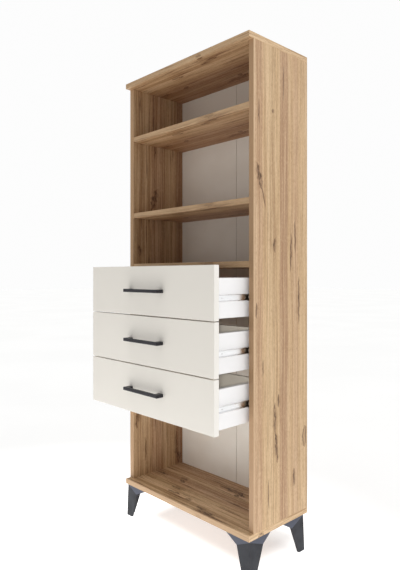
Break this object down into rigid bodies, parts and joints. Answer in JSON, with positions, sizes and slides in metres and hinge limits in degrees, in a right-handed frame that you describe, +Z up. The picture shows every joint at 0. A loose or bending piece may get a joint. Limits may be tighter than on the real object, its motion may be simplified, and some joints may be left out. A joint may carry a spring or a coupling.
{
  "type": "bookcase with drawers",
  "caption": "Tall open bookcase in wood decor with shelves over a block of overlay-front drawers on ball slides, an open niche below and splayed corner legs.",
  "frame": {"origin": "on the floor, middle of the bounding box with the drawers standing open by 140 mm at rest", "axes": "+X to the right seen from the front, +Y towards the back, +Z up"},
  "size_m": [0.6, 0.4466, 1.58],
  "materials": {
    "wood_decor": "tan wood decor with dark cracks and knots, satin",
    "back_white": "off-white lacquered fibreboard, matte",
    "tape": "adhesive tape, matte",
    "leg_grey": "anthracite moulded plastic, satin",
    "front_cream": "cream melamine-faced board, matte",
    "box_white": "white melamine-faced board, satin",
    "handle_grey": "anthracite powder coat, satin",
    "slide_steel": "zinc-plated rolled sheet",
    "screw_steel": "zinc-plated",
    "cam_metal": "die-cast zinc",
    "ball_steel": "polished"
  },
  "bodies": {
    "case": {"top_panel": "wood_decor", "bottom_panel": "wood_decor", "left_side_panel": "wood_decor", "right_side_panel": "wood_decor", "upper_shelf": "wood_decor", "middle_shelf": "wood_decor", "drawer_shelf": "wood_decor", "back_board_left": "back_white", "back_board_right": "back_white", "back_fold_tape": "tape", "front_left_leg": "leg_grey", "front_right_leg": "leg_grey", "rear_left_leg": "leg_grey", "rear_right_leg": "leg_grey", "leg_screws": "screw_steel", "case_screws": "screw_steel", "shelf_cams": "cam_metal", "shelf_cam_bolts": "screw_steel", "runner_screws": "screw_steel", "upper_left_runner": "slide_steel", "upper_right_runner": "slide_steel", "middle_left_runner": "slide_steel", "middle_right_runner": "slide_steel", "lower_left_runner": "slide_steel", "lower_right_runner": "slide_steel"},
    "upper_drawer": {"upper_drawer_front": "front_cream", "upper_drawer_left_side": "box_white", "upper_drawer_right_side": "box_white", "upper_drawer_back": "box_white", "upper_drawer_bottom": "box_white", "upper_drawer_handle": "handle_grey", "upper_left_rail": "slide_steel", "upper_right_rail": "slide_steel", "upper_drawer_fasteners": "screw_steel"},
    "upper_cages": {"upper_ball_cages": "slide_steel", "upper_bearing_balls": "ball_steel"},
    "middle_drawer": {"middle_drawer_front": "front_cream", "middle_drawer_left_side": "box_white", "middle_drawer_right_side": "box_white", "middle_drawer_back": "box_white", "middle_drawer_bottom": "box_white", "middle_drawer_handle": "handle_grey", "middle_left_rail": "slide_steel", "middle_right_rail": "slide_steel", "middle_drawer_fasteners": "screw_steel"},
    "middle_cages": {"middle_ball_cages": "slide_steel", "middle_bearing_balls": "ball_steel"},
    "lower_drawer": {"lower_drawer_front": "front_cream", "lower_drawer_left_side": "box_white", "lower_drawer_right_side": "box_white", "lower_drawer_back": "box_white", "lower_drawer_bottom": "box_white", "lower_drawer_handle": "handle_grey", "lower_left_rail": "slide_steel", "lower_right_rail": "slide_steel", "lower_drawer_fasteners": "screw_steel"},
    "lower_cages": {"lower_ball_cages": "slide_steel", "lower_bearing_balls": "ball_steel"}
  },
  "joints": [
    {"name": "upper_drawer_slide", "type": "slide", "parent": "case", "child": "upper_drawer", "axis": [0, -1, 0], "range_m": [-0.14, 0.01]},
    {"name": "upper_cage_roll", "type": "slide", "parent": "case", "child": "upper_cages", "axis": [0, -1, 0], "range_m": [-0.07, 0.005]},
    {"name": "middle_drawer_slide", "type": "slide", "parent": "case", "child": "middle_drawer", "axis": [0, -1, 0], "range_m": [-0.14, 0.01]},
    {"name": "middle_cage_roll", "type": "slide", "parent": "case", "child": "middle_cages", "axis": [0, -1, 0], "range_m": [-0.07, 0.005]},
    {"name": "lower_drawer_slide", "type": "slide", "parent": "case", "child": "lower_drawer", "axis": [0, -1, 0], "range_m": [-0.14, 0.01]},
    {"name": "lower_cage_roll", "type": "slide", "parent": "case", "child": "lower_cages", "axis": [0, -1, 0], "range_m": [-0.07, 0.005]}
  ],
  "couplings": [
    {"joint": "upper_cage_roll", "follows": "upper_drawer_slide", "ratio": 0.5},
    {"joint": "middle_cage_roll", "follows": "middle_drawer_slide", "ratio": 0.5},
    {"joint": "lower_cage_roll", "follows": "lower_drawer_slide", "ratio": 0.5}
  ]
}
